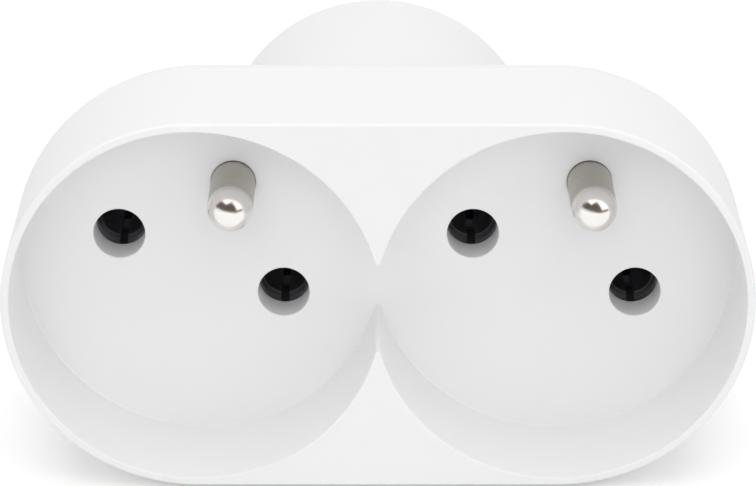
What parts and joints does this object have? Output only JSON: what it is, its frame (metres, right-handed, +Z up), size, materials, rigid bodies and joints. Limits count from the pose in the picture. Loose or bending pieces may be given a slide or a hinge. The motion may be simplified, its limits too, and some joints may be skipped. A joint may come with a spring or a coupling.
{
  "type": "multi socket adapter",
  "caption": "Two-way front adapter for round two-pin plugs: twin recessed sockets with earth pins, and a round plug body with two pins behind.",
  "frame": {"origin": "centre of the plug face, midway between the two plug pins", "axes": "+Z up as it hangs in a wall outlet, +Y along the plug pins into the outlet, sockets facing -Y, +X to the right seen from the front"},
  "size_m": [0.0798, 0.0715, 0.0414],
  "materials": {
    "white_plastic": "satin moulded",
    "black_plastic": "matte moulded",
    "nickel_pin": "nickel plated brass, polished",
    "contact_bronze": "tinned",
    "brass_strip": "rolled strip",
    "spring_steel": "plain",
    "screw_steel": "zinc plated"
  },
  "bodies": {
    "root": {"front_housing": "white_plastic", "rear_housing": "white_plastic", "contact_carrier": "black_plastic", "left_neutral_clip": "contact_bronze", "left_live_clip": "contact_bronze", "right_neutral_clip": "contact_bronze", "right_live_clip": "contact_bronze", "left_neutral_spring_ring": "spring_steel", "left_live_spring_ring": "spring_steel", "right_neutral_spring_ring": "spring_steel", "right_live_spring_ring": "spring_steel", "neutral_busbar": "brass_strip", "live_busbar": "brass_strip", "neutral_plug_pin": "nickel_pin", "live_plug_pin": "nickel_pin", "left_earth_pin": "nickel_pin", "right_earth_pin": "nickel_pin", "earth_strip": "brass_strip", "earth_sleeve": "contact_bronze", "earth_sleeve_ring": "spring_steel", "clip_rivets": "contact_bronze", "housing_screws": "screw_steel"}
  },
  "joints": []
}
